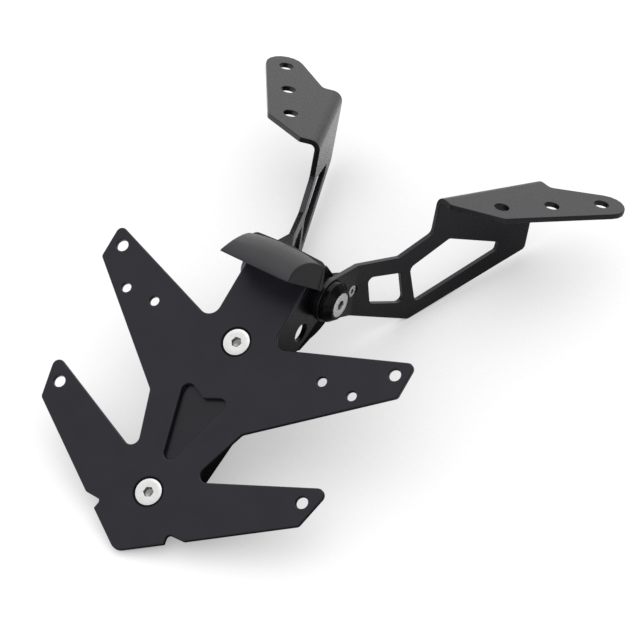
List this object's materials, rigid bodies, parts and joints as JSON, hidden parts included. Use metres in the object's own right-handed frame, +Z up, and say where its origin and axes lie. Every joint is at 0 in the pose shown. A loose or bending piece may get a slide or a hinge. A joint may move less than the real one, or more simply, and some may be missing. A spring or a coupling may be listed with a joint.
{
  "type": "tail tidy",
  "caption": "Folded sheet motorbike tail tidy: two arms that bolt under the seat unit and a tilting number plate bracket with a hooded plate lamp.",
  "frame": {"origin": "midway between the middle bolt holes of the two arms, on the top faces of the flanges, where they meet the seat unit", "axes": "+X to the right of the bike, +Y forward, +Z up, as it is mounted; the number plate bracket leans 46 degrees from level and faces rearwards"},
  "size_m": [0.19, 0.2315, 0.1251],
  "materials": {
    "black_sheet": "satin black powder coat",
    "stainless": "bright",
    "black_aluminium": "black anodised",
    "lamp_black": "satin",
    "clear_lens": "clear moulded",
    "board_white": "matt",
    "led_yellow": "gloss",
    "black_rubber": "matt"
  },
  "bodies": {
    "arms": {"left_arm": "black_sheet", "right_arm": "black_sheet", "pivot_screws": "stainless", "cup_washers": "black_aluminium", "pivot_nuts": "stainless", "lock_screws": "stainless", "lock_spacers": "black_aluminium", "lock_nuts": "stainless"},
    "hanger": {"number_plate_bracket": "black_sheet", "hanger_channel": "black_sheet", "hinge_bracket": "black_sheet", "plate_screws": "stainless", "plate_screw_nuts": "stainless", "pivot_spacers": "black_aluminium", "lamp_cover": "lamp_black", "lamp_base": "lamp_black", "lamp_lens": "clear_lens", "lamp_circuit_board": "board_white", "lamp_leds": "led_yellow", "lamp_screws": "stainless", "cable_grommet": "black_rubber"}
  },
  "joints": [
    {"name": "plate_tilt", "type": "hinge", "parent": "arms", "child": "hanger", "pos_m": [0, -0.0895, -0.0375], "axis": [1, 0, 0], "range_deg": [-2, 44]}
  ]
}
